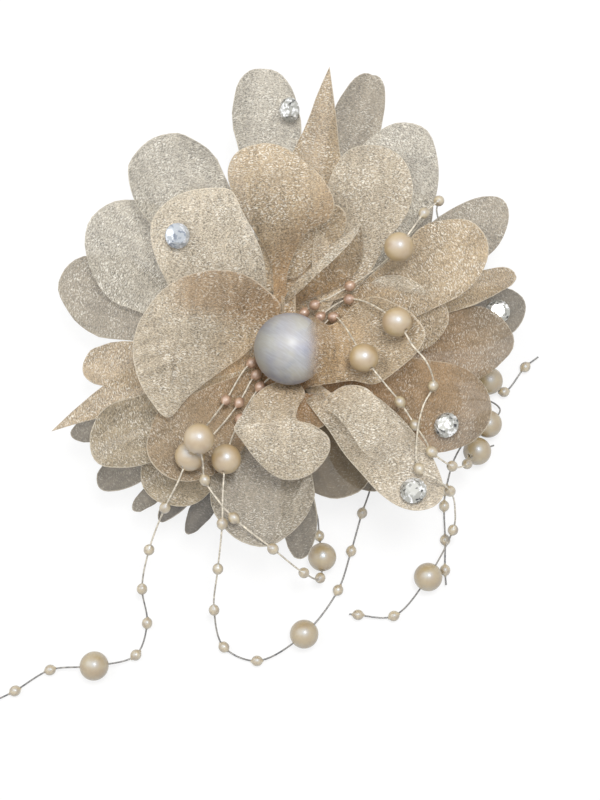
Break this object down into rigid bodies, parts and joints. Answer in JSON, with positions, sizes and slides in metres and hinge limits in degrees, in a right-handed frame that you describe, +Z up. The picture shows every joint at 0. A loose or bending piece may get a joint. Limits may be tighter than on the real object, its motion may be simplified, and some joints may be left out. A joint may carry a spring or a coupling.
{
  "type": "flower hair clip",
  "caption": "Layered organza flower on a sprung flat hair clip, with a large centre pearl, trailing strands of small pearls on clear line, and glued clear stones.",
  "frame": {"origin": "on the clip's flat underside, straight below the centre pearl", "axes": "+Z up out of the flower's face, +X along the clip from its nose to its finger tabs, +Y to the flower's upper edge in the picture"},
  "size_m": [0.1547, 0.1779, 0.0436],
  "materials": {
    "steel": "bright pressed steel",
    "organza": "crinkled metallic beige organza, half see-through",
    "felt": "pressed beige felt",
    "thread": "wound sewing thread",
    "lilac_pearl": "silver-lilac pearl coat",
    "cream_pearl": "cream pearl coat",
    "line_and_beads": "clear nylon line with moulded cream beads",
    "clear_stone": "faceted clear acrylic with a foil back"
  },
  "bodies": {
    "flower": {"upper_jaw": "steel", "hinge_pin": "steel", "jaw_spring": "steel", "felt_backing": "felt", "stitch_core": "thread", "petal_layer_1": "organza", "petal_layer_2": "organza", "petal_layer_3": "organza", "petal_layer_4": "organza", "petal_layer_5": "organza", "petal_layer_6": "organza", "centre_pearl": "lilac_pearl", "rhinestone_1": "clear_stone", "rhinestone_2": "clear_stone", "rhinestone_3": "clear_stone", "rhinestone_4": "clear_stone", "rhinestone_5": "clear_stone", "strand_a": "line_and_beads", "strand_b": "line_and_beads", "strand_c": "line_and_beads", "strand_d": "line_and_beads", "strand_e": "line_and_beads", "strand_f": "line_and_beads", "strand_g": "line_and_beads", "pearl_1": "cream_pearl", "pearl_2": "cream_pearl", "pearl_3": "cream_pearl", "pearl_4": "cream_pearl", "pearl_5": "cream_pearl", "pearl_6": "cream_pearl", "pearl_7": "cream_pearl", "pearl_8": "cream_pearl", "pearl_9": "cream_pearl", "pearl_10": "cream_pearl", "pearl_11": "cream_pearl", "pearl_12": "cream_pearl", "pearl_13": "cream_pearl"},
    "lower_lever": {"lower_jaw": "steel"}
  },
  "joints": [
    {"name": "jaw_hinge", "type": "hinge", "parent": "flower", "child": "lower_lever", "pos_m": [0.012, 0, 0.0038], "axis": [0, -1, 0], "range_deg": [0, 17], "stiffness_Nm_per_rad": 0.05, "springref_deg": -28.65, "deforming": ["jaw_spring"]}
  ]
}
